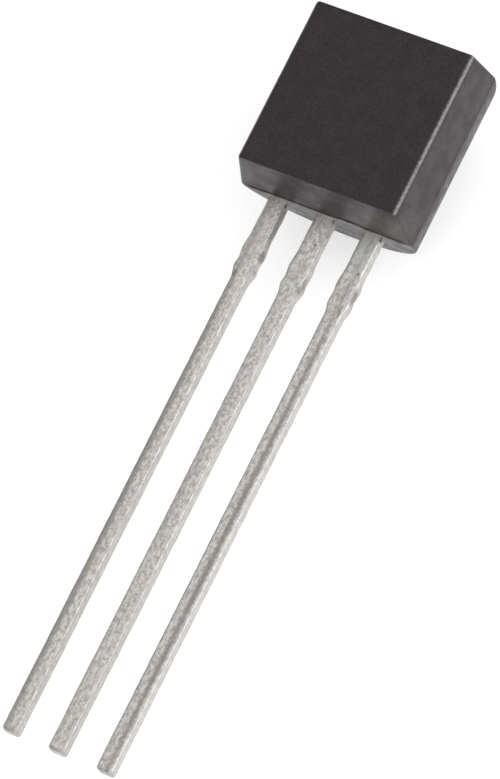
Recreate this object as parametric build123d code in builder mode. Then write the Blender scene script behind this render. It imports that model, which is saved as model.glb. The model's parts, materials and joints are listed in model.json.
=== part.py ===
from build123d import *

import os
from math import asin, atan2, cos, degrees, hypot, sin

# A small three-lead transistor in its moulded package, lying on its round back with the flat face up.
# Millimetres. The leads run towards -Y, the flat face looks up and +X is to the right, seen from above
# with the leads towards the viewer. The origin is below the middle of the whole part.

# Moulded body, measured from the parting plane, which holds the front faces of the leads
body_width = 4.60           # across the parting plane
body_height = 4.63          # along the leads, at the parting plane
flat_depth = 1.40           # parting plane to the flat face
side_inset = 0.20           # how far each side leans in at the flat face
end_inset = 0.165           # how far each end leans in at the flat face
back_end_inset = 0.40       # how far each end leans in at the deepest line of the round back
corner_radius = 0.10        # corners of the front half, seen from the flat face
flat_edge_radius = 0.05     # rounded edge round the flat face
back_rim_radius = 0.05      # rounded edge where the ends meet the round back
flash_width = 0.02          # thin lip that the mould leaves along the parting line
flash_thickness = 0.04

# Leads, each one flat stamping
lead_pitch = 1.27
lead_length = 14.20         # parting line to the tips
lead_width = 0.40
lead_thickness = 0.38
root_width = 0.49           # between the body and the stub of the dam bar
stub_width = 0.55           # what the press leaves of the dam bar
stub_level = 1.55           # parting line to the stub's near end
stub_length = 0.30
root_blend = 0.35           # length over which the root widens into the stub
shank_blend = 0.45          # length over which the stub narrows into the shank
tip_chamfer = 0.04

# Inside the body
post_level = 1.20           # body's lower end to the bond posts
post_width = 0.80
post_height = 0.80
pad_gap = 0.30              # between the posts and the die pad
pad_width = 1.50
pad_end_wall = 0.80         # plastic left above the die pad
pad_corner = 0.12           # cut corners of the posts and the pad
die_size = 0.55
die_thickness = 0.20
attach_margin = 0.05        # fillet of adhesive that shows round the die
attach_thickness = 0.04
bond_offset = 0.15          # die centre to each bond, sideways
wire_diameter = 0.05
wire_bend = 0.12            # radius of a wire's two bends
wire_rise = 0.24            # straight height of the loop over the die
wire_drop = 0.18            # straight height of the landing on the post
ball_diameter = 0.11
ball_height = 0.035

# Sizes that follow
back_radius = body_width / 2
mid_height = body_height / 2
flat_width = body_width - 2 * side_inset
flat_height = body_height - 2 * end_inset
post_middle = post_level + post_height / 2
pad_bottom = post_level + post_height + pad_gap
pad_top = body_height - pad_end_wall
pad_middle = (pad_bottom + pad_top) / 2
attach_size = die_size + 2 * attach_margin
die_top = attach_thickness + die_thickness

# Rest: the rounded lower rim of the back and the back edges of the lead tips both touch the floor.
# The part's own axes are x across, v up along the leads and n out of the flat face, from the middle of
# the parting line at the body's lower end.
end_lean = atan2(back_end_inset, back_radius)
rim_n = back_rim_radius - back_radius
rim_v = (back_rim_radius - rim_n * sin(end_lean)) / cos(end_lean)
tip_v = tip_chamfer - lead_length
run = rim_v - tip_v
drop = -lead_thickness - rim_n
rest_tilt = asin(back_rim_radius / hypot(run, drop)) + atan2(drop, run)

up_body = (0, cos(rest_tilt), sin(rest_tilt))
out_of_flat = (0, -sin(rest_tilt), cos(rest_tilt))
height_at_line = lead_thickness * cos(rest_tilt) - tip_v * sin(rest_tilt)
front_end = tip_chamfer * sin(rest_tilt) - lead_length * cos(rest_tilt)
rear_end = (body_height + flash_width) * cos(rest_tilt) + flash_thickness / 2 * sin(rest_tilt)
line_middle = (0, -(front_end + rear_end) / 2, height_at_line)

parting_plane = Plane(origin=line_middle, x_dir=(1, 0, 0), z_dir=out_of_flat)
side_plane = Plane(origin=line_middle, x_dir=up_body, z_dir=(1, 0, 0))
section_plane = Plane(origin=line_middle, x_dir=(1, 0, 0), z_dir=up_body)


def lead_outline(head):
    """Half outline of a lead from its tip up to its head, as (half width, v) pairs."""
    stub_end = stub_level + stub_length
    return [
        (0, -lead_length),
        (lead_width / 2, -lead_length),
        (lead_width / 2, -stub_end - shank_blend),
        (stub_width / 2, -stub_end),
        (stub_width / 2, -stub_level),
        (root_width / 2, -stub_level + root_blend),
        *head,
    ]


def head_outline(bottom, top, width):
    """Half outline of a post or pad with cut corners, on top of a root."""
    return [
        (root_width / 2, bottom),
        (width / 2 - pad_corner, bottom),
        (width / 2, bottom + pad_corner),
        (width / 2, top - pad_corner),
        (width / 2 - pad_corner, top),
        (0, top),
    ]


post_outline = lead_outline(head_outline(post_level, post_level + post_height, post_width))
pad_outline = lead_outline(head_outline(pad_bottom, pad_top, pad_width))


def build_lead(outline, across):
    """One lead: its half outline drawn on both sides of its middle line, and its cut end eased."""
    right = [(across + half, v) for half, v in outline]
    left = [(across - half, v) for half, v in reversed(outline[1:-1])]
    with BuildPart() as lead:
        with BuildSketch(parting_plane):
            with BuildLine():
                Polyline(*right, *left, close=True)
            make_face()
        extrude(amount=-lead_thickness)
        tip_face = lead.faces().sort_by(Axis(line_middle, up_body))[0]
        chamfer(tip_face.edges(), length=tip_chamfer)
    return lead


# Middle lead, which carries the die pad, and the two outer leads, which end in bond posts
collector_lead = build_lead(pad_outline, 0)
emitter_lead = build_lead(post_outline, -lead_pitch)
base_lead = build_lead(post_outline, lead_pitch)

# Adhesive between the pad and the die
with BuildPart() as die_attach:
    with BuildSketch(parting_plane):
        with Locations((0, pad_middle)):
            Rectangle(attach_size, attach_size)
    extrude(amount=attach_thickness)

# Silicon die
with BuildPart() as die:
    with BuildSketch(parting_plane.offset(attach_thickness)):
        with Locations((0, pad_middle)):
            Rectangle(die_size, die_size)
    extrude(amount=die_thickness)


def build_wire(side):
    """A bond wire from the die up, across and down to the post on that side, with a foot at each end."""
    start = parting_plane.from_local_coords((side * bond_offset, pad_middle, 0))
    end = parting_plane.from_local_coords((side * lead_pitch, post_middle, 0))
    span = (end - start).length
    along = (end - start).normalized()
    upright = Plane(origin=start, x_dir=along, z_dir=along.cross(parting_plane.z_dir))
    with BuildPart() as wire:
        with BuildLine(upright) as route:
            FilletPolyline(
                (0, die_top),
                (0, die_top + wire_rise),
                (span, wire_drop),
                (span, 0),
                radius=wire_bend,
            )
        with BuildSketch(route.line ^ 0):
            Circle(wire_diameter / 2)
        sweep(path=route.line)
        with BuildSketch(Plane(start + parting_plane.z_dir * die_top, z_dir=parting_plane.z_dir)):
            Circle(ball_diameter / 2)
        extrude(amount=ball_height)
        with BuildSketch(Plane(end, z_dir=parting_plane.z_dir)):
            Circle(ball_diameter / 2)
        extrude(amount=ball_height)
    return wire


emitter_wire = build_wire(-1)
base_wire = build_wire(1)

# Moulded body, with its inside shaped round everything that it was moulded over
inner_pieces = [collector_lead, emitter_lead, base_lead, die_attach, die, emitter_wire, base_wire]

with BuildPart() as moulded_body:
    # Round back with both ends leaning in
    with BuildSketch(section_plane):
        Circle(back_radius)
        with Locations((0, -back_radius / 2)):
            Rectangle(body_width, back_radius, mode=Mode.SUBTRACT)
    extrude(amount=body_height)
    with BuildSketch(side_plane):
        with BuildLine():
            Polyline(
                (0, 0),
                (back_end_inset, -back_radius),
                (body_height - back_end_inset, -back_radius),
                (body_height, 0),
                close=True,
            )
        make_face()
    extrude(amount=back_radius, both=True, mode=Mode.INTERSECT)
    round_face = moulded_body.faces().filter_by(GeomType.CYLINDER)[0]
    rims = round_face.edges().filter_by(GeomType.LINE, reverse=True)
    fillet(rims, radius=back_rim_radius)

    # Front half, drafted on all four sides
    with BuildSketch(parting_plane):
        with Locations((0, mid_height)):
            RectangleRounded(body_width, body_height, corner_radius)
    with BuildSketch(parting_plane.offset(flat_depth)):
        with Locations((0, mid_height)):
            RectangleRounded(flat_width, flat_height, corner_radius)
    loft()
    flat_face = moulded_body.faces().sort_by(Axis(line_middle, out_of_flat))[-1]
    fillet(flat_face.edges(), radius=flat_edge_radius)

    # Lip along the parting line
    with BuildSketch(parting_plane.offset(-flash_thickness / 2)):
        with Locations((0, mid_height)):
            RectangleRounded(
                body_width + 2 * flash_width,
                body_height + 2 * flash_width,
                corner_radius + flash_width,
            )
    extrude(amount=flash_thickness)

    for piece in inner_pieces:
        add(piece.part, mode=Mode.SUBTRACT)

os.makedirs("parts", exist_ok=True)

moulded_body.part.label = "moulded_body"
collector_lead.part.label = "collector_lead"
emitter_lead.part.label = "emitter_lead"
base_lead.part.label = "base_lead"
die_attach.part.label = "die_attach"
die.part.label = "die"
emitter_wire.part.label = "emitter_wire"
base_wire.part.label = "base_wire"

for piece in (moulded_body, *inner_pieces):
    export_step(piece.part, f"parts/{piece.part.label}.step")

flat_centre = parting_plane.from_local_coords((0, mid_height, flat_depth))
lead_row_centre = parting_plane.from_local_coords((0, 0, -lead_thickness / 2))
print("rest tilt, degrees:", round(degrees(rest_tilt), 3))
print("centre of the flat face:", flat_centre)
print("row of leads where it leaves the body:", lead_row_centre)
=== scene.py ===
"""A small leaded transistor that lies on its round back: fine meshes, finishes, floor, light and camera.

Lengths are metres. The part's own axes are x across the leads, v along them towards the body, and n out of
the flat face, from the middle of the parting line at the body's lower end.
"""

import json
import logging
import math
from dataclasses import dataclass
from enum import Enum
from typing import Any

import bmesh
import bpy
from mathutils import Matrix, Vector


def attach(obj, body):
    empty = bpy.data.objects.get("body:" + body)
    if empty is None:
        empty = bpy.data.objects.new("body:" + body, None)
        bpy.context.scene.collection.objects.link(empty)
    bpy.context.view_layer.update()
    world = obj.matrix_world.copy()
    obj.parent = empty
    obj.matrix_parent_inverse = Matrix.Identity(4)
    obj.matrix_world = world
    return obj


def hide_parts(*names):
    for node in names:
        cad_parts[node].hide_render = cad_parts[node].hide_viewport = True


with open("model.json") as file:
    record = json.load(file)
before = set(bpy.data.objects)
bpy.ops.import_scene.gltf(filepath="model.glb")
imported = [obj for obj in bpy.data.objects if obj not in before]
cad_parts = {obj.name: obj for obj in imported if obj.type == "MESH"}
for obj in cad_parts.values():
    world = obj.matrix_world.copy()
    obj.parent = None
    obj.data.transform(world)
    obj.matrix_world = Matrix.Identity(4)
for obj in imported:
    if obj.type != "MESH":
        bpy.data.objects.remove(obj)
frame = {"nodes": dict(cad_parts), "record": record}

logging.basicConfig(level=logging.INFO, format="%(message)s")
log = logging.getLogger("transistor")

MM = 0.001
BODY = "root"


class Lead(Enum):
    """The leads, by the CAD node that each one stands for, and their place in the row."""

    EMITTER = ("emitter_lead", -1)
    COLLECTOR = ("collector_lead", 0)
    BASE = ("base_lead", 1)

    @property
    def node(self) -> str:
        """The CAD node's name."""
        return self.value[0]

    @property
    def place(self) -> int:
        """How many pitches to the right of the middle lead it stands."""
        return self.value[1]


class Slot(Enum):
    """The record's material slots for the new pieces' finishes; nothing in the script uses them."""

    MOULDING = "moulding"
    TIN = "tinned_lead"


@dataclass(frozen=True)
class PartAxes:
    """The part's own axes in the row frame."""

    origin: Vector
    across: Vector
    along: Vector
    outward: Vector

    @classmethod
    def from_record(cls, record: dict[str, Any], height: float, depth: float) -> "PartAxes":
        """Work the axes out from the mounts on the flat face and on the row of leads.

        Args:
            record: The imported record.
            height: The body's height along the leads.
            depth: The flat face's height over the parting plane.

        Returns:
            The part's axes, with their origin on the parting line at the body's lower end.
        """
        mounts = {mount["name"]: mount for mount in record["mounts"]}
        outward = Vector(mounts["flat_face"]["axis"]).normalized()
        along = -Vector(mounts["lead_row"]["axis"]).normalized()
        origin = Vector(mounts["flat_face"]["pos_m"]) - outward * depth - along * height / 2
        return cls(origin, along.cross(outward), along, outward)

    def matrix(self) -> Matrix:
        """The turn and shift from the part's own axes to the row frame."""
        turn = Matrix((self.across, self.along, self.outward)).transposed()
        return Matrix.Translation(self.origin) @ turn.to_4x4()

    def point(self, x: float, v: float, n: float) -> Vector:
        """A point given along the part's own axes, in the row frame."""
        return self.matrix() @ Vector((x, v, n))


class NodeBoard:
    """Adds nodes to one shader or geometry tree and joins them."""

    def __init__(self, tree: bpy.types.NodeTree) -> None:
        """Start on a tree.

        Args:
            tree: The tree that the nodes go into.
        """
        self.tree = tree

    def add(self, kind: str, inputs: dict[Any, Any] | None = None, **settings: Any) -> bpy.types.Node:
        """Add one node.

        Args:
            kind: The node's type.
            inputs: What goes into its inputs, by name or number: a value or another node's output.
            **settings: The node's own properties.

        Returns:
            The new node.
        """
        node = self.tree.nodes.new(kind)
        for name, value in settings.items():
            setattr(node, name, value)
        for key, value in (inputs or {}).items():
            self.feed(node.inputs[key], value)
        return node

    def feed(self, socket: bpy.types.NodeSocket, value: Any) -> None:
        """Give an input a value, or join it to an output.

        Args:
            socket: The input.
            value: A value, or another node's output.
        """
        if isinstance(value, bpy.types.NodeSocket):
            self.tree.links.new(value, socket)
        else:
            socket.default_value = value

    def math(self, operation: str, *values: Any, clamp: bool = False) -> bpy.types.NodeSocket:
        """Add a Math node and return its result."""
        inputs = dict(enumerate(values))
        return self.add("ShaderNodeMath", inputs, operation=operation, use_clamp=clamp).outputs[0]

    def ramp(
        self, value: Any, low: Any, high: Any, start: Any = 0.0, end: Any = 1.0
    ) -> bpy.types.NodeSocket:
        """Map a value from low..high to start..end with soft ends.

        Args:
            value: The number to map.
            low: Where the ramp starts.
            high: Where it ends.
            start: The result up to its start.
            end: The result from its end on.

        Returns:
            The mapped number.
        """
        inputs = {"Value": value, "From Min": low, "From Max": high, "To Min": start, "To Max": end}
        node = self.add("ShaderNodeMapRange", inputs, interpolation_type="SMOOTHSTEP")
        return node.outputs["Result"]

    def blend(self, factor: Any, first: Any, second: Any) -> bpy.types.NodeSocket:
        """Mix two numbers and return the result."""
        node = self.add("ShaderNodeMix", {0: factor, 2: first, 3: second}, data_type="FLOAT")
        return node.outputs[0]

    def blend_colours(self, factor: Any, first: Any, second: Any) -> bpy.types.NodeSocket:
        """Mix two colours and return the result."""
        node = self.add("ShaderNodeMix", {0: factor, 6: first, 7: second}, data_type="RGBA")
        return node.outputs[2]

    def vector(self, x: Any = 0.0, y: Any = 0.0, z: Any = 0.0) -> bpy.types.NodeSocket:
        """Join three numbers into a vector."""
        return self.add("ShaderNodeCombineXYZ", {"X": x, "Y": y, "Z": z}).outputs[0]

    def parts(self, vector: Any) -> Any:
        """Split a vector into its three numbers."""
        return self.add("ShaderNodeSeparateXYZ", {0: vector}).outputs


def rgba(colour: tuple[float, float, float]) -> tuple[float, float, float, float]:
    """A colour with full cover."""
    return (*colour, 1.0)


def new_material(name: str, metallic: float) -> tuple[bpy.types.Material, NodeBoard, bpy.types.Node]:
    """Start a node material.

    Args:
        name: The material's name.
        metallic: How metallic it is, from 0 to 1.

    Returns:
        The material, a board on its tree, and its Principled BSDF.
    """
    material = bpy.data.materials.new(name)
    material.use_nodes = True
    shader = material.node_tree.nodes["Principled BSDF"]
    shader.inputs["Metallic"].default_value = metallic
    return material, NodeBoard(material.node_tree), shader


def own_coordinates(board: NodeBoard, axes: PartAxes) -> bpy.types.NodeSocket:
    """Object coordinates turned and shifted to the part's own axes, in metres.

    Args:
        board: The board to draw on.
        axes: The part's own axes.

    Returns:
        The coordinates.
    """
    home = axes.matrix().inverted()
    mapping = {"Location": home.translation, "Rotation": home.to_euler()}
    where = board.add("ShaderNodeTexCoord").outputs["Object"]
    return board.add("ShaderNodeMapping", {"Vector": where, **mapping}).outputs["Vector"]


def grain(
    board: NodeBoard,
    where: bpy.types.NodeSocket,
    size: tuple[float, float, float],
    detail: float = 3.0,
    roughness: float = 0.55,
) -> bpy.types.NodeSocket:
    """Noise whose spots have the given size along each of the part's axes.

    Args:
        board: The board to draw on.
        where: The part's own coordinates.
        size: The spots' size along x, v and n.
        detail: How many finer layers there are.
        roughness: How strong the finer layers are.

    Returns:
        A number from 0 to 1, mostly near the middle.
    """
    scale = tuple(1.0 / length for length in size)
    scaled = board.add("ShaderNodeMapping", {"Vector": where, "Scale": scale}).outputs["Vector"]
    inputs = {"Vector": scaled, "Scale": 1.0, "Detail": detail, "Roughness": roughness}
    return board.add("ShaderNodeTexNoise", inputs).outputs["Fac"]


def wandering(board: NodeBoard, noise: bpy.types.NodeSocket, middle: float) -> bpy.types.NodeSocket:
    """A number that noise moves by up to a fifth to either side of its middle."""
    return board.blend(noise, middle * 0.8, middle * 1.2)


@dataclass(frozen=True)
class Mark:
    """A stain, nick, pit, painted shade or painted light with a ragged outline, placed along the part's own
    axes in millimetres.

    It covers fully within its core, a share of its reach, and fades to nothing at its reach. Where the noise
    that thins it is weakest, its thinnest share is left.
    """

    middle: tuple[float, float, float]
    reach: tuple[float, float, float]
    colour: tuple[float, float, float]
    cover: float
    core: float = 0.3
    thinnest: float = 0.6
    thinning: tuple[float, float] = (0.3, 0.6)

    def paint(self, board: NodeBoard, where: Any, patchy: Any, under: Any) -> bpy.types.NodeSocket:
        """Lay the mark over a colour.

        Args:
            board: The board to draw on.
            where: The part's own coordinates, a little shaken.
            patchy: Noise that thins the mark unevenly.
            under: The colour below it.

        Returns:
            The colour with the mark on it.
        """
        middle = tuple(length * MM for length in self.middle)
        scale = tuple(1.0 / (length * MM) for length in self.reach)
        away = board.add("ShaderNodeVectorMath", {0: where, 1: middle}, operation="SUBTRACT").outputs[0]
        shares = board.add("ShaderNodeVectorMath", {0: away, 1: scale}, operation="MULTIPLY").outputs[0]
        distance = board.add("ShaderNodeVectorMath", {0: shares}, operation="LENGTH").outputs["Value"]
        inside = board.ramp(distance, self.core, 1.0, self.cover, 0.0)
        left = board.ramp(patchy, *self.thinning, self.thinnest, 1.0)
        thinned = board.math("MULTIPLY", inside, left, clamp=True)
        return board.blend_colours(thinned, under, rgba(self.colour))


def shaken(
    board: NodeBoard, where: bpy.types.NodeSocket, size: float, reach: float
) -> bpy.types.NodeSocket:
    """Coordinates pushed about by noise, which makes outlines drawn from them ragged.

    Args:
        board: The board to draw on.
        where: The part's own coordinates.
        size: The size of the raggedness along the surface.
        reach: How far places are pushed at most.

    Returns:
        The pushed coordinates.
    """
    inputs = {"Vector": where, "Scale": 1.0 / size, "Detail": 2.0}
    colour = board.add("ShaderNodeTexNoise", inputs).outputs["Color"]
    centred = board.add("ShaderNodeVectorMath", {0: colour, 1: (0.5,) * 3}, operation="SUBTRACT").outputs[0]
    grown = {0: centred, "Scale": 2.0 * reach}
    push = board.add("ShaderNodeVectorMath", grown, operation="SCALE").outputs[0]
    return board.add("ShaderNodeVectorMath", {0: where, 1: push}, operation="ADD").outputs[0]


# Painted shade: near black, for crevices and creases on the moulding.
PAINTED_SHADE = (0.010, 0.008, 0.009)
# Painted light: a paler grey that lightens patches of the moulding.
PAINTED_LIGHT = (0.078, 0.068, 0.066)


@dataclass(frozen=True)
class MouldingFinish:
    """Black epoxy moulding compound: matte, with the fine grain of a spark-eroded mould, a painted highlight
    along the flat face's right edge, and painted shade and painted light in patches on the lower end.
    """

    dark: tuple[float, float, float] = (0.0130, 0.0060, 0.0100)
    light: tuple[float, float, float] = (0.0290, 0.0190, 0.0240)
    # Painted highlight: the pale grey laid along the flat face's long edges, the right one most.
    lighter_tone: tuple[float, float, float] = (0.300, 0.290, 0.288)
    roughness: float = 0.40
    cloud_spread: float = 0.14
    spot_spread: float = 0.10
    edge_roughness: float = 0.30
    edge_reach: float = 0.10 * MM
    left_highlight: float = 0.0
    highlight_patch_range: tuple[float, float] = (0.3, 0.6)
    highlight_patch_least: float = 0.45
    cloud_size: float = 0.38 * MM
    cloud_range: tuple[float, float] = (0.35, 0.65)
    spot_size: float = 0.07 * MM
    spot_share: float = 0.75
    mottle_range: tuple[float, float] = (0.36, 0.64)
    pit_size: float = 0.035 * MM
    pit_depth: float = 0.0045 * MM
    relief_spots: float = 0.35
    ragged_size: float = 0.08 * MM
    ragged_reach: float = 0.05 * MM
    marks: tuple[Mark, ...] = (
        # Painted shade: dark spots in the crevices at the right root corner of each lead.
        Mark((-0.985, -0.02, -0.20), (0.06, 0.10, 0.12), PAINTED_SHADE, 1.0),
        Mark((0.30, -0.02, -0.17), (0.06, 0.10, 0.10), PAINTED_SHADE, 1.0),
        Mark((1.58, -0.02, -0.20), (0.07, 0.10, 0.10), PAINTED_SHADE, 0.9),
        # Painted shade: darker patches on the lower end just above the flash, between the leads.
        Mark((-0.62, 0.06, 0.30), (0.42, 0.10, 0.30), PAINTED_SHADE, 0.42),
        Mark((0.95, 0.06, 0.35), (0.22, 0.10, 0.25), PAINTED_SHADE, 0.30),
        # Painted light: paler patches over the lower end and the side faces, at the right and at the left.
        Mark((1.65, 0.02, 0.55), (1.30, 1.00, 0.88), PAINTED_LIGHT, 0.95),
        Mark((-2.10, 0.05, 0.60), (0.90, 0.40, 0.85), PAINTED_LIGHT, 0.45),
    )

    def edge_highlight(self, board: NodeBoard, where: bpy.types.NodeSocket) -> bpy.types.NodeSocket:
        """How near a place is to the flat face's two long edges, where a painted highlight goes, strongest
        on the right one.

        Args:
            board: The board to draw on.
            where: The part's own coordinates.

        Returns:
            A number from 0, away from them, to 1, on them.
        """
        parts = board.parts(where)
        edge = MouldedBody.width / 2 - MouldedBody.side_inset
        nearness = (-self.edge_reach, -self.edge_reach / 3)
        across = board.math("SUBTRACT", board.math("ABSOLUTE", parts["X"]), edge)
        across = board.ramp(across, *nearness)
        outward = board.math("SUBTRACT", parts["Z"], MouldedBody.flat_depth)
        outward = board.ramp(outward, *nearness)
        # The painted highlight grows from the left edge's share to full on the right edge.
        rightward_highlight = board.ramp(parts["X"], -edge, edge, self.left_highlight, 1.0)
        return board.math("MULTIPLY", board.math("MULTIPLY", across, outward), rightward_highlight)

    def material(self, axes: PartAxes) -> bpy.types.Material:
        """Build the material.

        Args:
            axes: The part's own axes.

        Returns:
            The new material.
        """
        material, board, shader = new_material("moulding_compound", 0.0)
        where = own_coordinates(board, axes)
        clouds = grain(board, where, (self.cloud_size,) * 3)
        spots = grain(board, where, (self.spot_size,) * 3, detail=4.0)
        pits = grain(board, where, (self.pit_size,) * 3, detail=2.0)
        highlight_band = self.edge_highlight(board, where)
        mottle = board.ramp(board.blend(self.spot_share, clouds, spots), *self.mottle_range)
        colour = board.blend_colours(mottle, rgba(self.dark), rgba(self.light))
        patches = board.ramp(spots, *self.highlight_patch_range, self.highlight_patch_least, 1.0)
        # Painted highlight: lighten the flat face's long edges in patches, the right one most.
        colour = board.blend_colours(board.math("MULTIPLY", highlight_band, patches), colour, rgba(self.lighter_tone))
        ragged = shaken(board, where, self.ragged_size, self.ragged_reach)
        for mark in self.marks:
            colour = mark.paint(board, ragged, spots, colour)
        cloudy = board.ramp(clouds, *self.cloud_range, self.cloud_spread / 2, -self.cloud_spread / 2)
        smoothest = self.roughness - self.spot_spread / 2
        spotty = board.math("MULTIPLY_ADD", spots, self.spot_spread, smoothest)
        matte = board.math("ADD", cloudy, spotty)
        relief = board.blend(self.relief_spots, pits, spots)
        bump = {"Height": relief, "Distance": self.pit_depth, "Strength": 1.0}
        board.feed(shader.inputs["Base Color"], colour)
        board.feed(shader.inputs["Roughness"], board.blend(highlight_band, matte, self.edge_roughness))
        board.feed(shader.inputs["Normal"], board.add("ShaderNodeBump", bump).outputs["Normal"])
        return material


@dataclass(frozen=True)
class FlashFinish:
    """Thin resin that bled out of the mould: dark, with a painted highlight along the lower end by the leads
    that fades towards the sides.
    """

    dark: tuple[float, float, float] = (0.110, 0.100, 0.098)
    flash_highlight: tuple[float, float, float] = (0.380, 0.350, 0.335)
    roughness: float = 0.42
    patch_size: float = 0.16 * MM
    patch_range: tuple[float, float] = (0.35, 0.62)
    patch_least: float = 0.55
    lower_fade: tuple[float, float] = (0.02 * MM, 0.10 * MM)
    side_fade: tuple[float, float] = (1.5 * MM, 2.2 * MM)
    side_cover: float = 0.4

    def material(self, axes: PartAxes) -> bpy.types.Material:
        """Build the material.

        Args:
            axes: The part's own axes.

        Returns:
            The new material.
        """
        material, board, shader = new_material("resin_flash", 0.0)
        where = own_coordinates(board, axes)
        patches = grain(board, where, (self.patch_size,) * 3, detail=3.0)
        parts = board.parts(where)
        lower = board.ramp(parts["Y"], *self.lower_fade, 1.0, 0.0)
        amid = board.ramp(board.math("ABSOLUTE", parts["X"]), *self.side_fade, 1.0, self.side_cover)
        patchy = board.ramp(patches, *self.patch_range, self.patch_least, 1.0)
        # Painted highlight: how far the flash is lightened, along the lower end and away from the sides, in
        # patches.
        highlight_share = board.math("MULTIPLY", board.math("MULTIPLY", lower, amid), patchy)
        board.feed(shader.inputs["Base Color"], board.blend_colours(highlight_share, rgba(self.dark), rgba(self.flash_highlight)))
        board.feed(shader.inputs["Roughness"], wandering(board, patches, self.roughness))
        return material


# Dark spots on the tin, also used for painted shade on flanks and along the shanks.
LEAD_DARK_AND_SHADE = (0.17, 0.155, 0.15)
LEAD_BROWN = (0.66, 0.55, 0.52)
LEAD_PINK = (0.72, 0.64, 0.635)
LEAD_GREEN = (0.70, 0.74, 0.70)
LEAD_CUT = (0.36, 0.36, 0.38)
# Painted shade: near black, for the crevices at the leads' roots.
LEAD_CREVICE_SHADE = (0.05, 0.045, 0.045)


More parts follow.
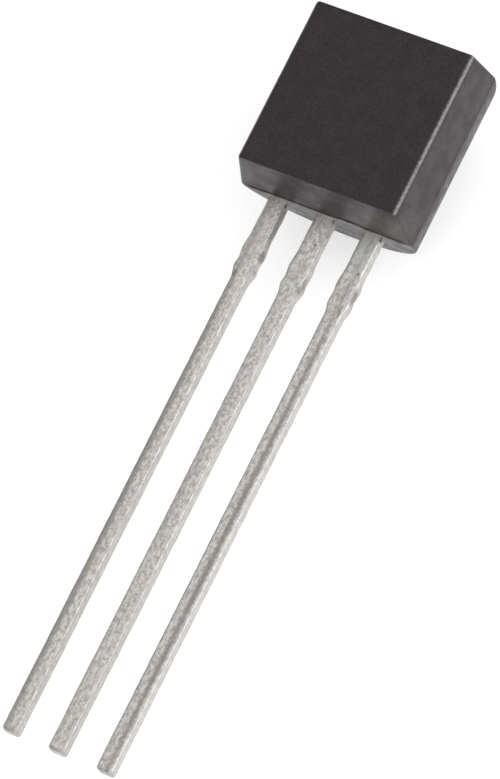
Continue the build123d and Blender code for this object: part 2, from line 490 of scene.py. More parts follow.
@dataclass(frozen=True)
class TinFinish:
    """Dull tin plate on stamped strip: blotchy and scratched along the lead, torn where the bar was cut,
    with painted shade on the flanks, down the shanks and in the crevices at the roots.
    """

    bright: tuple[float, float, float] = (0.98, 0.965, 0.945)
    dull: tuple[float, float, float] = (0.52, 0.505, 0.49)
    # Painted shade: the darker colour of the leads' flanks.
    flank_shade: tuple[float, float, float] = (0.52, 0.505, 0.49)
    flank_shade_cover: float = 0.80
    flank_shade_range: tuple[float, float] = (0.10, 0.60)
    pink: tuple[float, float, float] = (1.00, 0.945, 0.945)
    green: tuple[float, float, float] = (0.965, 0.985, 0.925)
    tint_size: tuple[float, float, float] = (0.22 * MM, 0.34 * MM, 0.22 * MM)
    tint_range: tuple[float, float] = (0.38, 0.62)
    roughness_low: float = 0.34
    roughness_high: float = 0.56
    blotch_size: tuple[float, float, float] = (0.085 * MM, 0.14 * MM, 0.085 * MM)
    speck_size: tuple[float, float, float] = (0.04 * MM, 0.06 * MM, 0.04 * MM)
    speck_share: float = 0.30
    worn_range: tuple[float, float] = (0.39, 0.60)
    scratch_size: tuple[float, float, float] = (0.022 * MM, 1.4 * MM, 0.022 * MM)
    scratch_share: float = 0.30
    scratch_range: tuple[float, float] = (0.35, 0.65)
    ragged_size: float = 0.07 * MM
    ragged_reach: float = 0.045 * MM
    relief_depth: float = 0.0055 * MM
    relief_scratches: float = 0.4
    marks: tuple[Mark, ...] = (
        Mark((-1.27, -1.05, 0.0), (0.22, 0.95, 0.15), LEAD_PINK, 0.5),
        # Painted shade: down the right flank of the left lead's root, from the body to the stub.
        Mark((-1.01, -0.70, -0.20), (0.06, 0.80, 0.40), LEAD_DARK_AND_SHADE, 0.85),
        Mark((-1.00, -1.50, -0.12), (0.07, 0.22, 0.25), LEAD_DARK_AND_SHADE, 0.9),
        Mark((-1.05, -1.92, -0.15), (0.09, 0.10, 0.25), LEAD_DARK_AND_SHADE, 0.6),
        # Painted shade: a dark line down the left part of the left lead's shank.
        Mark((-1.39, -8.00, 0.0), (0.13, 12.0, 0.20), LEAD_DARK_AND_SHADE, 0.55),
        Mark((0.10, -1.40, 0.0), (0.17, 0.24, 0.12), LEAD_BROWN, 0.6),
        Mark((-0.02, -1.68, 0.0), (0.19, 0.26, 0.12), LEAD_BROWN, 0.55),
        Mark((0.11, -0.78, 0.0), (0.045, 0.05, 0.10), LEAD_DARK_AND_SHADE, 0.9),
        Mark((0.27, -1.75, -0.19), (0.07, 0.25, 0.30), LEAD_DARK_AND_SHADE, 0.6),
        # Painted shade: on the right flank of the middle lead's root.
        Mark((0.26, -0.42, -0.15), (0.05, 0.13, 0.20), LEAD_DARK_AND_SHADE, 0.6),
        # Painted shade: a faint dark line down the left part of the middle lead's shank.
        Mark((-0.11, -6.40, 0.0), (0.10, 4.40, 0.12), LEAD_DARK_AND_SHADE, 0.20),
        Mark((1.27, -0.50, -0.10), (0.34, 0.80, 0.45), LEAD_GREEN, 0.7),
        Mark((1.20, -1.62, 0.0), (0.20, 0.35, 0.12), LEAD_BROWN, 0.4),
        Mark((1.41, -1.08, 0.0), (0.055, 0.07, 0.12), LEAD_DARK_AND_SHADE, 0.8),
        Mark((1.53, -1.62, -0.12), (0.06, 0.30, 0.25), LEAD_DARK_AND_SHADE, 0.75),
        # Painted shade: a dark line down the right lead's shank, a little right of its middle.
        Mark((1.325, -8.40, 0.0), (0.100, 11.0, 0.14), LEAD_DARK_AND_SHADE, 0.62),
        Mark((-1.40, -2.12, 0.0), (0.07, 0.16, 0.15), LEAD_DARK_AND_SHADE, 0.6),
        Mark((0.24, -1.95, -0.05), (0.07, 0.14, 0.15), LEAD_DARK_AND_SHADE, 0.65),
        Mark((1.40, -2.10, 0.0), (0.05, 0.24, 0.12), LEAD_DARK_AND_SHADE, 0.6),
        # Painted shade: dark spots in the crevice at each lead's right root corner.
        Mark((-1.02, -0.12, -0.08), (0.06, 0.08, 0.12), LEAD_CREVICE_SHADE, 0.9),
        Mark((0.25, -0.08, -0.05), (0.06, 0.07, 0.10), LEAD_CREVICE_SHADE, 1.0),
        Mark((1.52, -0.09, -0.06), (0.07, 0.09, 0.12), LEAD_CREVICE_SHADE, 1.0),
        Mark((0.00, -14.20, -0.19), (4.00, 0.10, 1.00), LEAD_CUT, 0.65),
    )

    def shaded_flanks(self, board: NodeBoard, axes: PartAxes) -> bpy.types.NodeSocket:
        """How far a place lies on a lead's flanks, which are darkened as painted shade.

        Args:
            board: The board to draw on.
            axes: The part's own axes.

        Returns:
            A number from 0, on the front and back, to the flanks' cover.
        """
        facing = board.add("ShaderNodeTexCoord").outputs["Normal"]
        sideways = {0: facing, 1: tuple(axes.across)}
        share = board.add("ShaderNodeVectorMath", sideways, operation="DOT_PRODUCT").outputs["Value"]
        return board.ramp(board.math("ABSOLUTE", share), *self.flank_shade_range, 0.0, self.flank_shade_cover)

    def material(self, axes: PartAxes) -> bpy.types.Material:
        """Build the material.

        Args:
            axes: The part's own axes.

        Returns:
            The new material.
        """
        material, board, shader = new_material("tin_plate", 1.0)
        where = own_coordinates(board, axes)
        blotches = grain(board, where, self.blotch_size, detail=4.0, roughness=0.6)
        specks = grain(board, where, self.speck_size, detail=2.0)
        scratches = grain(board, where, self.scratch_size, detail=2.0)
        tints = grain(board, where, self.tint_size, detail=2.0)
        lighter_tone = board.ramp(board.blend(self.speck_share, blotches, specks), *self.worn_range)
        streaked = board.blend(self.scratch_share, lighter_tone, board.ramp(scratches, *self.scratch_range))
        colour = board.blend_colours(streaked, rgba(self.dull), rgba(self.bright))
        tint = board.blend_colours(board.ramp(tints, *self.tint_range), rgba(self.pink), rgba(self.green))
        tinted = {0: 1.0, 6: colour, 7: tint}
        colour = board.add("ShaderNodeMix", tinted, data_type="RGBA", blend_type="MULTIPLY").outputs[2]
        # Painted shade: darken the flanks, found by which way they face.
        colour = board.blend_colours(self.shaded_flanks(board, axes), colour, rgba(self.flank_shade))
        ragged = shaken(board, where, self.ragged_size, self.ragged_reach)
        for mark in self.marks:
            colour = mark.paint(board, ragged, blotches, colour)
        relief = board.blend(self.relief_scratches, blotches, scratches)
        bump = {"Height": relief, "Distance": self.relief_depth, "Strength": 1.0}
        board.feed(shader.inputs["Base Color"], colour)
        board.feed(shader.inputs["Roughness"], board.blend(lighter_tone, self.roughness_high, self.roughness_low))
        board.feed(shader.inputs["Normal"], board.add("ShaderNodeBump", bump).outputs["Normal"])
        return material


@dataclass(frozen=True)
class InnerFinish:
    """A plain finish with a fine mottle, for one kind of piece sealed inside the body."""

    name: str
    first: tuple[float, float, float]
    second: tuple[float, float, float]
    metallic: float
    roughness: float
    spot_size: float = 0.02 * MM

    def material(self, axes: PartAxes) -> bpy.types.Material:
        """Build the material.

        Args:
            axes: The part's own axes.

        Returns:
            The new material.
        """
        material, board, shader = new_material(self.name, self.metallic)
        spots = grain(board, own_coordinates(board, axes), (self.spot_size,) * 3)
        colour = board.blend_colours(spots, rgba(self.first), rgba(self.second))
        board.feed(shader.inputs["Base Color"], colour)
        board.feed(shader.inputs["Roughness"], wandering(board, spots, self.roughness))
        return material


def link_object(name: str, mesh: bpy.types.Mesh) -> bpy.types.Object:
    """Put a mesh into the scene as an object at the origin.

    Args:
        name: The object's name.
        mesh: Its mesh.

    Returns:
        The object.
    """
    piece = bpy.data.objects.new(name, mesh)
    bpy.context.scene.collection.objects.link(piece)
    return piece


def bake_modifiers(piece: bpy.types.Object) -> None:
    """Turn what a piece's modifiers make into its plain mesh, and remove them.

    Args:
        piece: The object with the modifiers.
    """
    bpy.context.view_layer.update()
    evaluated = piece.evaluated_get(bpy.context.evaluated_depsgraph_get())
    mesh = bpy.data.meshes.new_from_object(evaluated)
    piece.modifiers.clear()
    piece.data = mesh
    mesh.name = piece.name


def face_outwards(mesh: bpy.types.Mesh, merge: float) -> None:
    """Merge a mesh's double points and turn its faces outwards.

    Args:
        mesh: The mesh.
        merge: How near to each other double points lie.
    """
    work = bmesh.new()
    work.from_mesh(mesh)
    bmesh.ops.remove_doubles(work, verts=work.verts, dist=merge)
    bmesh.ops.recalc_face_normals(work, faces=work.faces)
    work.to_mesh(mesh)
    work.free()


def report(piece: bpy.types.Object) -> None:
    """Log what a finished piece is made of."""
    mesh = piece.data
    log.info("%s: %d points, %d faces", piece.name, len(mesh.vertices), len(mesh.polygons))


class GeometryTree:
    """A geometry node tree with named inputs, which is run on an empty object and turned into its mesh."""

    socket_types = {
        float: "NodeSocketFloat",
        int: "NodeSocketInt",
        bpy.types.Material: "NodeSocketMaterial",
    }

    def __init__(self, name: str, values: dict[str, Any]) -> None:
        """Start an empty tree.

        Args:
            name: The tree's name.
            values: Each input's name, and a value of the type that it takes.
        """
        self.tree = bpy.data.node_groups.new(name, "GeometryNodeTree")
        sockets = self.tree.interface
        self.identifiers: dict[str, str] = {}
        for label, value in values.items():
            socket_type = self.socket_types[type(value)]
            socket = sockets.new_socket(name=label, in_out="INPUT", socket_type=socket_type)
            self.identifiers[label] = socket.identifier
        sockets.new_socket(name="Geometry", in_out="OUTPUT", socket_type="NodeSocketGeometry")
        self.board = NodeBoard(self.tree)
        self.given = self.tree.nodes.new("NodeGroupInput").outputs

    def close(self, geometry: bpy.types.NodeSocket) -> None:
        """End the tree: real geometry, smooth, in the finish that was given.

        Args:
            geometry: What the tree has made.
        """
        smooth = self.board.add("GeometryNodeSetShadeSmooth", {"Geometry": geometry}).outputs[0]
        real = self.board.add("GeometryNodeRealizeInstances", {"Geometry": smooth}).outputs[0]
        finish = {"Geometry": real, "Material": self.given["Finish"]}
        dressed = self.board.add("GeometryNodeSetMaterial", finish).outputs[0]
        self.board.add("NodeGroupOutput", {0: dressed})

    def swept(self, line: Any, radius: bpy.types.NodeSocket | None = None) -> bpy.types.NodeSocket:
        """Sweep a circle along a line.

        Args:
            line: The line.
            radius: The circle's radius at each place of the line, or none for 1 with closed ends.

        Returns:
            The swept mesh.
        """
        ring = {"Resolution": self.given["Ring Points"], "Radius": 1.0}
        circle = self.board.add("GeometryNodeCurvePrimitiveCircle", ring).outputs[0]
        ends = {"Fill Caps": True} if radius is None else {"Scale": radius}
        sweep = {"Curve": line, "Profile Curve": circle, **ends}
        return self.board.add("GeometryNodeCurveToMesh", sweep).outputs[0]

    def run(self, name: str, values: dict[str, Any]) -> bpy.types.Object:
        """Make an object from the tree.

        Args:
            name: The new object's name.
            values: A value for each named input.

        Returns:
            The object, with a plain mesh and no modifiers.
        """
        piece = link_object(name, bpy.data.meshes.new(name))
        modifier = piece.modifiers.new(self.tree.name, "NODES")
        modifier.node_group = self.tree
        for label, value in values.items():
            modifier[self.identifiers[label]] = value
        bake_modifiers(piece)
        return piece


def labelled(source: Any, *names: str) -> dict[str, Any]:
    """Some of a piece's own values, each under the label that its tree gives it."""
    return {name.replace("_", " ").title(): getattr(source, name) for name in names}


@dataclass
class LeadStrips:
    """The stamped leads: a root, the stub of a sheared dam bar, a narrow shank and a head in the body."""

    axes: PartAxes
    finish: bpy.types.Material
    pitch: float = 1.27 * MM
    length: float = 14.20 * MM
    shank_widths: tuple[float, float, float] = (0.415 * MM, 0.44 * MM, 0.445 * MM)
    leans: tuple[float, float, float] = (0.0, -0.028 * MM, -0.022 * MM)
    root_width: float = 0.50 * MM
    stub_width: float = 0.59 * MM
    stub_level: float = 1.55 * MM
    stub_length: float = 0.30 * MM
    root_blend: float = 0.55 * MM
    shank_blend: float = 0.40 * MM
    thickness: float = 0.38 * MM
    head_corner: float = 0.12 * MM
    post_bottom: float = 1.20 * MM
    post_top: float = 2.00 * MM
    post_width: float = 0.80 * MM
    pad_bottom: float = 2.30 * MM
    pad_top: float = 3.83 * MM
    pad_width: float = 1.50 * MM
    squareness: float = 0.30
    tip_rounding: float = 0.045 * MM
    unevenness: float = 0.020 * MM
    tearing: float = 0.060 * MM
    wave_size: float = 0.7 * MM
    nibble_waves: float = 2.5
    middle_seed: float = 11.0
    seed_step: float = 3.7
    rings: int = 420
    ring_points: int = 48
    merge: float = 1e-8

    def half_width(self, board: NodeBoard, given: Any, v: Any) -> bpy.types.NodeSocket:
        """Half the lead's width at each place along it.

        Args:
            board: The board to draw on.
            given: The tree's inputs.
            v: The place along the lead.

        Returns:
            The half width, in metres.
        """
        stub_end = board.math("ADD", given["Stub Level"], given["Stub Length"])
        shank_start = board.math("ADD", stub_end, given["Shank Blend"])
        root_start = board.math("SUBTRACT", given["Stub Level"], given["Root Blend"])
        down = board.math("MULTIPLY", v, -1.0)
        narrow = board.ramp(down, stub_end, shank_start, given["Stub Width"], given["Shank Width"])
        lower = board.ramp(down, root_start, given["Stub Level"], given["Root Width"], narrow)
        past_bottom = board.math("SUBTRACT", v, given["Head Bottom"])
        past_top = board.math("SUBTRACT", given["Head Top"], v)
        nearest = board.math("MINIMUM", past_bottom, past_top)
        cut = board.math("SUBTRACT", given["Head Corner"], nearest)
        cut = board.math("MAXIMUM", cut, 0.0)
        head = board.math("SUBTRACT", given["Head Width"], board.math("MULTIPLY", cut, 2.0))
        in_head = board.math("GREATER_THAN", past_bottom, 0.0)
        return board.math("MULTIPLY", board.blend(in_head, lower, head), 0.5)

    def build_tree(self, values: dict[str, Any]) -> GeometryTree:
        """Build the tree that draws one lead as a soft-edged strip swept from its tip to its head.

        Args:
            values: A value for each of the tree's inputs.

        Returns:
            The tree.
        """
        tree = GeometryTree("Lead strip", values)
        board, given = tree.board, tree.given
        tip = board.math("MULTIPLY", given["Length"], -1.0)
        ends = {"Start": board.vector(y=tip), "End": board.vector(y=given["Head Top"])}
        line = board.add("GeometryNodeCurvePrimitiveLine", ends).outputs[0]
        spine = board.add("GeometryNodeResampleCurve", {"Curve": line, "Count": given["Rings"]}).outputs[0]
        rod = tree.swept(spine)

        parts = board.parts(board.add("GeometryNodeInputPosition").outputs[0])
        v = parts["Y"]
        from_tip = board.math("ADD", v, given["Length"])
        rounding = board.math("SUBTRACT", given["Tip Rounding"], from_tip)
        rounding = board.math("MAXIMUM", rounding, 0.0)
        wave_place = board.math("DIVIDE", v, given["Wave Size"])
        sway_noise = {"Vector": board.vector(wave_place, given["Seed"]), "Scale": 1.0, "Detail": 2.0}
        waves = board.add("ShaderNodeTexNoise", sway_noise).outputs["Fac"]
        sway = board.math("MULTIPLY", board.math("SUBTRACT", waves, 0.5), given["Unevenness"])
        edge_place = board.vector(wave_place, parts["X"], given["Seed"])
        edge_noise = {"Vector": edge_place, "Scale": self.nibble_waves, "Detail": 3.0}
        edges = board.add("ShaderNodeTexNoise", edge_noise).outputs["Fac"]
        down = board.math("MULTIPLY", v, -1.0)
        stub_middle = board.math("MULTIPLY_ADD", given["Stub Length"], 0.5, given["Stub Level"])
        from_stub = board.math("ABSOLUTE", board.math("SUBTRACT", down, stub_middle))
        torn = board.ramp(from_stub, given["Stub Length"], 0.0, 0.0, given["Tearing"])
        nibble = board.math("MULTIPLY", edges, board.math("ADD", given["Unevenness"], torn))

        def soft(side: Any, reach: Any) -> bpy.types.NodeSocket:
            """Push one axis of the unit circle out to a soft-cornered box that reaches so far."""
            power = board.math("POWER", board.math("ABSOLUTE", side), given["Squareness"])
            signed = board.math("MULTIPLY", board.math("SIGN", side), power)
            return board.math("MULTIPLY", signed, board.math("SUBTRACT", reach, rounding))

        width = board.math("SUBTRACT", self.half_width(board, given, v), nibble)
        half_thickness = board.math("MULTIPLY", given["Thickness"], 0.5)
        share = board.math("DIVIDE", board.math("MINIMUM", v, 0.0), tip)
        lean = board.math("MULTIPLY_ADD", share, given["Lean"], sway)
        x = board.math("ADD", soft(parts["X"], width), lean)
        n = board.math("SUBTRACT", soft(parts["Z"], half_thickness), half_thickness)
        moved = {"Geometry": rod, "Position": board.vector(x, v, n)}
        shaped = board.add("GeometryNodeSetPosition", moved).outputs[0]
        tree.close(shaped)
        return tree

    def values(self, lead: Lead, shank_width: float, lean: float) -> dict[str, Any]:
        """A value for each of the tree's inputs.

        Args:
            lead: The lead to make.
            shank_width: The width of its shank.
            lean: How far its tip is to the side.

        Returns:
            The values by the inputs' names.
        """
        shared = labelled(
            self, "length", "thickness", "root_width", "root_blend", "stub_width", "stub_level",
            "stub_length", "shank_blend", "head_corner", "squareness", "tip_rounding", "unevenness",
            "tearing", "wave_size", "rings", "ring_points", "finish",
        )
        on_pad = lead is Lead.COLLECTOR
        return {
            **shared,
            "Lean": lean,
            "Shank Width": shank_width,
            "Head Bottom": self.pad_bottom if on_pad else self.post_bottom,
            "Head Top": self.pad_top if on_pad else self.post_top,
            "Head Width": self.pad_width if on_pad else self.post_width,
            "Seed": self.seed_step * lead.place + self.middle_seed,
        }

    def build(self) -> None:
        """Make the leads, put them in the row frame and let each stand for its CAD node."""
        rows = [self.values(*own) for own in zip(Lead, self.shank_widths, self.leans)]
        tree = self.build_tree(rows[0])
        for lead, values in zip(Lead, rows):
            piece = tree.run(f"{lead.node}_strip", values)
            shift = Matrix.Translation((lead.place * self.pitch, 0.0, 0.0))
            piece.data.transform(self.axes.matrix() @ shift)
            face_outwards(piece.data, self.merge)
            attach(piece, BODY)
            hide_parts(lead.node)
            report(piece)


@dataclass
class MouldedBody:
    """The black body: a drafted front half with the flat face, and a round back with leaning ends."""

    axes: PartAxes
    finish: bpy.types.Material
    width: float = 4.60 * MM
    height: float = 4.63 * MM
    flat_depth: float = 1.40 * MM
    side_inset: float = 0.20 * MM
    end_inset: float = 0.165 * MM
    back_end_inset: float = 0.40 * MM
    side_rounding: float = 0.14 * MM
    end_rounding: float = 0.045 * MM
    corner_rounding: float = 0.14 * MM
    rim_rounding: float = 0.05 * MM
    back_steps: int = 96
    rounding_steps: int = 16
    sharp_angle: float = 7.0
    merge: float = 1e-7

    def lower_and_upper(self, x: float, n: float, inset: float) -> tuple[Vector, Vector]:
        """The points of the lower and upper end at one place of the outline.

        Args:
            x: Place across.
            n: Place out of the parting plane.
            inset: How far both ends lean in there.

        Returns:
            The lower point and the upper point.
        """
        return Vector((x, inset, n)), Vector((x, self.height - inset, n))

    def outline(self) -> list[tuple[Vector, Vector]]:
        """Draw the outline from the flat's right edge round the back to its left edge.

        Returns:
            Its points, as pairs of one at the lower end and one at the upper end.
        """
        flat_half = self.width / 2 - self.side_inset
        radius = self.width / 2
        pairs = [self.lower_and_upper(flat_half, self.flat_depth, self.end_inset)]
        for step in range(self.back_steps + 1):
            angle = math.pi * step / self.back_steps
            across, back = math.cos(angle), math.sin(angle)
            pairs.append(self.lower_and_upper(radius * across, -radius * back, self.back_end_inset * back))
        pairs.append(self.lower_and_upper(-flat_half, self.flat_depth, self.end_inset))
        return pairs

    def block(self) -> bpy.types.Mesh:
        """Make the body with plain edges, each with its rounding as a share of the widest one.

        Returns:
            Its mesh.
        """
        work = bmesh.new()
        weights = work.edges.layers.float.new("bevel_weight_edge")
        rows = [(work.verts.new(low), work.verts.new(high)) for low, high in self.outline()]
        for (low_a, high_a), (low_b, high_b) in zip(rows, rows[1:] + rows[:1]):
            work.faces.new((low_a, low_b, high_b, high_a))
        right, left = rows[0], rows[-1]
        for end in (0, 1):
            work.faces.new((right[end], rows[1][end], rows[-2][end], left[end]))
            work.faces.new([row[end] for row in rows[1:-1]])
        bmesh.ops.recalc_face_normals(work, faces=work.faces)

        def weigh(first: bmesh.types.BMVert, second: bmesh.types.BMVert, rounding: float) -> None:
            """Say how far one edge is rounded, as a share of the widest rounding."""
            work.edges.get((first, second))[weights] = rounding / self.side_rounding

        for end in (0, 1):
            weigh(right[end], left[end], self.end_rounding)
            weigh(right[end], rows[1][end], self.corner_rounding)
            weigh(left[end], rows[-2][end], self.corner_rounding)
            for row, after in zip(rows[1:-2], rows[2:-1]):
                weigh(row[end], after[end], self.rim_rounding)
        weigh(*right, self.side_rounding)
        weigh(*left, self.side_rounding)
        mesh = bpy.data.meshes.new("moulding")
        work.to_mesh(mesh)
        work.free()
        return mesh

    def build(self) -> None:
        """Make the body's mesh, round its edges, and let it stand for its CAD node."""
        piece = link_object("moulding", self.block())
        rounding = piece.modifiers.new("Rounded edges", "BEVEL")
        rounding.limit_method = "WEIGHT"
        rounding.width = self.side_rounding
        rounding.segments = self.rounding_steps
        rounding.use_clamp_overlap = False
        bake_modifiers(piece)
        piece.data.transform(self.axes.matrix())
        face_outwards(piece.data, self.merge)
        piece.data.shade_smooth()
        piece.data.set_sharp_from_angle(angle=math.radians(self.sharp_angle))
        piece.data.materials.clear()
        piece.data.materials.append(self.finish)
        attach(piece, BODY)
        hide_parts("moulded_body")
        report(piece)


@dataclass
class PartingFlash:
    """The thin lip that the mould leaves all round the parting line, ragged where the leads come out."""

    axes: PartAxes
    finish: bpy.types.Material
    corner: float = 0.14 * MM
    taper: float = 0.35 * MM
    thickness: float = 0.014 * MM
    lower_thickness: float = 0.066 * MM
    raggedness: float = 0.018 * MM
    arch: float = 0.06 * MM
    wave_size: float = 0.50 * MM
    wave_range: tuple[float, float] = (0.3, 0.7)
    drop_shares: tuple[float, float] = (0.15, 1.3)
    thinnest: float = 0.72
    corner_steps: int = 6
    points: int = 1800
    ring_points: int = 8
    seed: float = 5.0
    merge: float = 1e-9

    def build_tree(self, values: dict[str, Any]) -> GeometryTree:
        """Build the tree that draws a bead round the parting line.

        Args:
            values: A value for each of the tree's inputs.

        Returns:
            The tree.
        """
        tree = GeometryTree("Parting flash", values)
        board, given = tree.board, tree.given
        outline = {"Width": given["Width"], "Height": given["Height"]}
        box = board.add("GeometryNodeCurvePrimitiveQuadrilateral", outline, mode="RECTANGLE").outputs[0]
        corners = {"Curve": box, "Radius": given["Corner"], "Count": self.corner_steps, "Limit Radius": True}
        rounded = board.add("GeometryNodeFilletCurve", corners, mode="POLY").outputs[0]
        even = {"Curve": rounded, "Count": given["Points"]}
        spine = board.add("GeometryNodeResampleCurve", even).outputs[0]
        parts = board.parts(board.add("GeometryNodeInputPosition").outputs[0])
        half = board.math("MULTIPLY", given["Height"], 0.5)
        from_lower = board.math("ADD", parts["Y"], half)
        side = board.math("MULTIPLY", given["Width"], 0.5)
        from_side = board.math("SUBTRACT", side, board.math("ABSOLUTE", parts["X"]))
        lower = board.math("LESS_THAN", from_lower, given["Corner"])
        lower = board.math("MULTIPLY", lower, board.ramp(from_side, given["Corner"], given["Taper"]))
        waves = board.math("DIVIDE", parts["X"], given["Wave Size"])
        wave_noise = {"Vector": board.vector(waves, given["Seed"]), "Scale": 1.0, "Detail": 3.0}
        noises = board.parts(board.add("ShaderNodeTexNoise", wave_noise).outputs["Color"])
        ragged = board.math("MULTIPLY", given["Raggedness"], lower)
        drop = board.ramp(noises["X"], *self.wave_range, *self.drop_shares)
        down = board.math("MULTIPLY", board.math("MULTIPLY", drop, ragged), -1.0)
        wobble = board.math("MULTIPLY", board.math("SUBTRACT", noises["Y"], 0.5), ragged)
        middle = board.math("MULTIPLY", board.math("ADD", given["Arch Start"], given["Arch End"]), 0.5)
        reach = board.math("SUBTRACT", given["Arch End"], middle)
        along = board.math("DIVIDE", board.math("SUBTRACT", parts["X"], middle), reach)
        hump = board.math("SUBTRACT", 1.0, board.math("MULTIPLY", along, along), clamp=True)
        arched = board.math("MULTIPLY", board.math("MULTIPLY", hump, given["Arch"]), lower)
        out = board.math("ADD", wobble, arched)
        moved = {"Geometry": spine, "Offset": board.vector(y=down, z=out)}
        ribbon = board.add("GeometryNodeSetPosition", moved).outputs[0]
        span = board.blend(lower, given["Thickness"], given["Lower Thickness"])
        uneven = board.blend(lower, 1.0, board.ramp(noises["Z"], *self.wave_range, self.thinnest, 1.0))
        radius = board.math("MULTIPLY", board.math("MULTIPLY", span, 0.5), uneven)
        tree.close(tree.swept(ribbon, radius))
        return tree

    def build(self) -> None:
        """Make the flash and put it on the body's parting line."""
        shared = labelled(
            self, "corner", "taper", "thickness", "lower_thickness", "raggedness", "arch", "wave_size",
            "seed", "points", "ring_points", "finish",
        )
        values = {
            **shared,
            "Width": MouldedBody.width,
            "Height": MouldedBody.height,
            "Arch Start": LeadStrips.root_width / 2,
            "Arch End": LeadStrips.pitch - LeadStrips.root_width / 2,
        }
        piece = self.build_tree(values).run("parting_flash", values)
        shift = Matrix.Translation((0.0, MouldedBody.height / 2, 0.0))
        piece.data.transform(self.axes.matrix() @ shift)
        face_outwards(piece.data, self.merge)
        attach(piece, BODY)
        report(piece)


@dataclass
class InnerPieces:
    """What is sealed in the body: the die, its adhesive and the bond wires keep their CAD meshes."""

    axes: PartAxes
    silicon: InnerFinish = InnerFinish(
        name="silicon",
        first=(0.30, 0.31, 0.35),
        second=(0.42, 0.43, 0.47),
        metallic=0.9,
        roughness=0.18,
    )
    adhesive: InnerFinish = InnerFinish(
        name="silver_adhesive",
        first=(0.55, 0.55, 0.54),
        second=(0.68, 0.68, 0.67),
        metallic=0.6,
        roughness=0.5,
    )
    gold: InnerFinish = InnerFinish(
        name="gold_wire",
        first=(0.85, 0.62, 0.25),
        second=(0.92, 0.70, 0.32),
        metallic=1.0,
        roughness=0.22,
    )

    def dress(self, nodes: dict[str, bpy.types.Object]) -> None:
        """Give each inner CAD node its finish.

        Args:
            nodes: The frame's CAD nodes by name.
        """
        gold = self.gold.material(self.axes)
        finishes = {
            "die": self.silicon.material(self.axes),
            "die_attach": self.adhesive.material(self.axes),
            "emitter_wire": gold,
            "base_wire": gold,
        }
        for name, finish in finishes.items():
            nodes[name].data.materials.clear()
            nodes[name].data.materials.append(finish)
            log.info("%s: dressed in %s", name, finish.name)


@dataclass(frozen=True)
class Lamp:
    """A square soft lamp that looks at the body: its place in the sky in degrees, its side and its watts."""

    name: str
    azimuth: float
    elevation: float
    size: float
    power: float


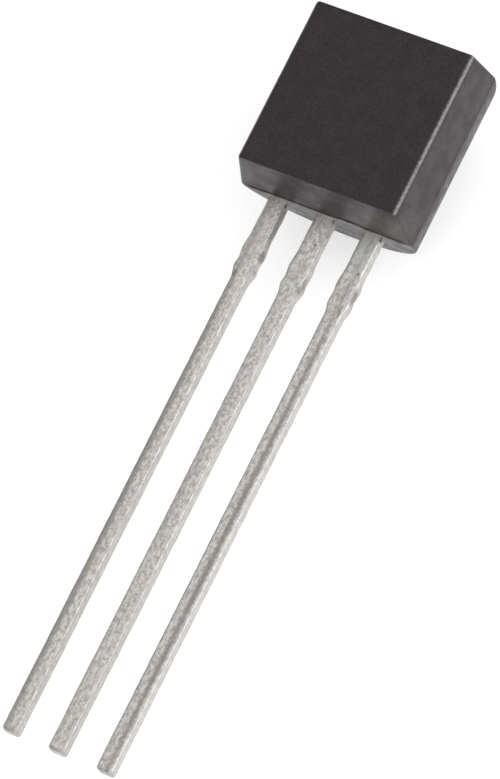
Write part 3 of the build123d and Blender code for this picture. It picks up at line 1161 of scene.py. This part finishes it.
@dataclass
class Studio:
    """Pale floor, soft lamps, a light world and the camera.

    An azimuth is counted in degrees round +Z from -Y towards +X, and an elevation up from the floor.
    """

    axes: PartAxes
    lamps: tuple[Lamp, ...] = (
        Lamp("overhead", azimuth=150.0, elevation=80.0, size=0.40, power=0.14),
        Lamp("front", azimuth=20.0, elevation=30.0, size=0.25, power=0.20),
        Lamp("side", azimuth=101.0, elevation=20.0, size=0.28, power=0.44),
    )
    lamp_distance: float = 0.3
    floor_half: float = 1.5
    floor_colour: tuple[float, float, float] = (0.85, 0.85, 0.85)
    floor_lift: float = 0.52
    world_strength: float = 0.48
    azimuth: float = 45.62
    elevation: float = 59.83
    roll: float = -20.14
    distance: float = 114.24 * MM
    aim_across: float = 0.273 * MM
    aim_along: float = -4.611 * MM
    lens: float = 227.4
    sensor_width: float = 36.0
    clip_start: float = 0.001
    clip_end: float = 20.0

    def build_floor(self) -> None:
        """A large pale floor, lifted to white for the camera and for reflections where no shadow lies."""
        work = bmesh.new()
        bmesh.ops.create_grid(work, x_segments=1, y_segments=1, size=self.floor_half)
        mesh = bpy.data.meshes.new("floor")
        work.to_mesh(mesh)
        work.free()
        floor = link_object("floor", mesh)
        material, board, shader = new_material("pale_floor", 0.0)
        shader.inputs["Base Color"].default_value = rgba(self.floor_colour)
        shader.inputs["Roughness"].default_value = 1.0
        shader.inputs["Specular IOR Level"].default_value = 0.0
        rays = board.add("ShaderNodeLightPath").outputs
        seen = board.math("MAXIMUM", rays["Is Camera Ray"], rays["Is Glossy Ray"])
        seen = board.math("MAXIMUM", seen, rays["Is Transmission Ray"])
        shader.inputs["Emission Color"].default_value = rgba((1.0, 1.0, 1.0))
        board.feed(shader.inputs["Emission Strength"], board.math("MULTIPLY", seen, self.floor_lift))
        mesh.materials.append(material)

    def build_world(self) -> None:
        """An even, light world."""
        world = bpy.data.worlds.new("studio")
        world.use_nodes = True
        background = world.node_tree.nodes["Background"]
        background.inputs["Color"].default_value = rgba((1.0, 1.0, 1.0))
        background.inputs["Strength"].default_value = self.world_strength
        bpy.context.scene.world = world

    def build_lamp(self, lamp: Lamp) -> None:
        """Put one lamp in its place.

        Args:
            lamp: The lamp.
        """
        light = bpy.data.lights.new(lamp.name, "AREA")
        light.size = lamp.size
        light.energy = lamp.power
        stand = bpy.data.objects.new(lamp.name, light)
        bpy.context.scene.collection.objects.link(stand)
        outward = self.direction(lamp.azimuth, lamp.elevation)
        stand.location = self.axes.origin + outward * self.lamp_distance
        stand.rotation_euler = outward.to_track_quat("Z", "Y").to_euler()

    @staticmethod
    def direction(azimuth: float, elevation: float) -> Vector:
        """The unit vector towards a place in the sky.

        Args:
            azimuth: The place's azimuth.
            elevation: Its elevation.

        Returns:
            The vector.
        """
        turn, rise = math.radians(azimuth), math.radians(elevation)
        return Vector((math.sin(turn) * math.cos(rise), -math.cos(turn) * math.cos(rise), math.sin(rise)))

    def build_camera(self) -> None:
        """The camera, aimed at a point between the middle lead's tip and the body."""
        outward = self.direction(self.azimuth, self.elevation)
        aim = self.axes.point(self.aim_across, self.aim_along, 0.0)
        right = Vector((0.0, 0.0, 1.0)).cross(outward).normalized()
        over = outward.cross(right)
        level = Matrix((right, over, outward)).transposed().to_4x4()
        lens = bpy.data.cameras.new("camera")
        lens.lens = self.lens
        lens.sensor_width = self.sensor_width
        lens.clip_start = self.clip_start
        lens.clip_end = self.clip_end
        camera = bpy.data.objects.new("camera", lens)
        bpy.context.scene.collection.objects.link(camera)
        turn = Matrix.Rotation(math.radians(self.roll), 4, "Z")
        camera.matrix_world = Matrix.Translation(aim + outward * self.distance) @ level @ turn
        bpy.context.scene.camera = camera

    def build(self) -> None:
        """Build the whole studio."""
        self.build_floor()
        self.build_world()
        for lamp in self.lamps:
            self.build_lamp(lamp)
        self.build_camera()
        bpy.context.scene.view_settings.view_transform = "Standard"


def main() -> None:
    """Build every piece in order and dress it."""
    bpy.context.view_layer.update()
    axes = PartAxes.from_record(frame["record"], MouldedBody.height, MouldedBody.flat_depth)
    moulding = MouldingFinish().material(axes)
    tin = TinFinish().material(axes)
    MouldedBody(axes, moulding).build()
    LeadStrips(axes, tin).build()
    PartingFlash(axes, FlashFinish().material(axes)).build()
    InnerPieces(axes).dress(frame["nodes"])
    Studio(axes).build()


if __name__ == "__main__":
    main()
